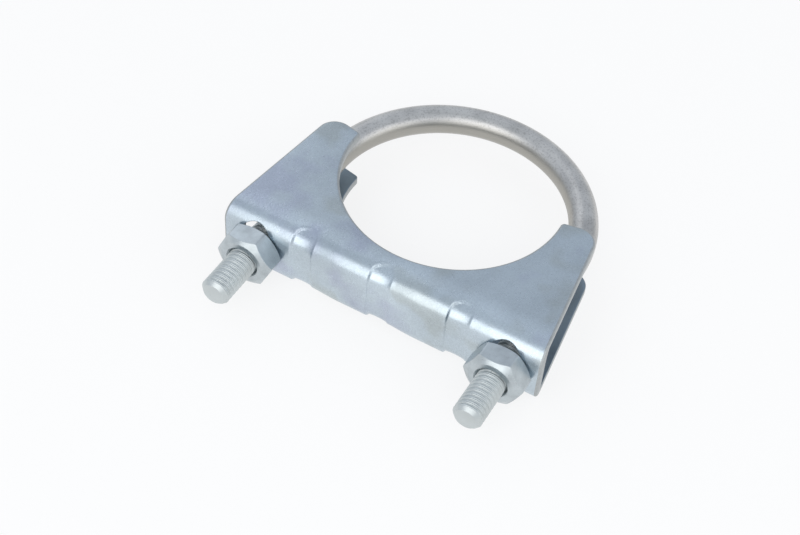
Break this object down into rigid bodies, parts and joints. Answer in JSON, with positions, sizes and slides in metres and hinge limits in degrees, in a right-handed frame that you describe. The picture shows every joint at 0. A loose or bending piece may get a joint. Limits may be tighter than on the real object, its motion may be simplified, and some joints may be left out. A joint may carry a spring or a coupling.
{
  "type": "exhaust clamp",
  "caption": "Exhaust pipe clamp: a threaded U-bolt, a folded and ribbed sheet saddle with a round pipe seat, and hexagon nuts that draw them together.",
  "frame": {"origin": "centre of the clamped pipe, halfway across the saddle's width", "axes": "+Z along the pipe, +Y from the nuts towards the U-bolt's bend, +X across the bolt's legs"},
  "size_m": [0.0908, 0.0968, 0.019],
  "materials": {
    "zinc_rod": "bright zinc plate on drawn rod, satin, rolled thread on the legs",
    "zinc_sheet": "bright zinc plate on pressed sheet, cool grey, light handling marks",
    "zinc_nut": "bright zinc plate on cold-formed nuts, satin faces, brighter edges"
  },
  "bodies": {
    "u_bolt": {"u_bolt": "zinc_rod"},
    "saddle": {"saddle": "zinc_sheet"},
    "nut_left": {"nut_left": "zinc_nut"},
    "nut_right": {"nut_right": "zinc_nut"}
  },
  "joints": [
    {"name": "saddle_slide", "type": "slide", "parent": "u_bolt", "child": "saddle", "axis": [0, 1, 0], "range_m": [-0.012, 0.009]},
    {"name": "nut_left_turn", "type": "hinge", "parent": "saddle", "child": "nut_left", "pos_m": [-0.0357, -0.03965, 0], "axis": [0, 1, 0], "range_deg": [-3062, 2297]},
    {"name": "nut_right_turn", "type": "hinge", "parent": "saddle", "child": "nut_right", "pos_m": [0.0357, -0.03965, 0], "axis": [0, 1, 0], "range_deg": [-3062, 2297]}
  ],
  "couplings": [
    {"joint": "nut_left_turn", "follows": "saddle_slide", "rad_per_m": 4452.7},
    {"joint": "nut_right_turn", "follows": "saddle_slide", "rad_per_m": 4452.7}
  ]
}
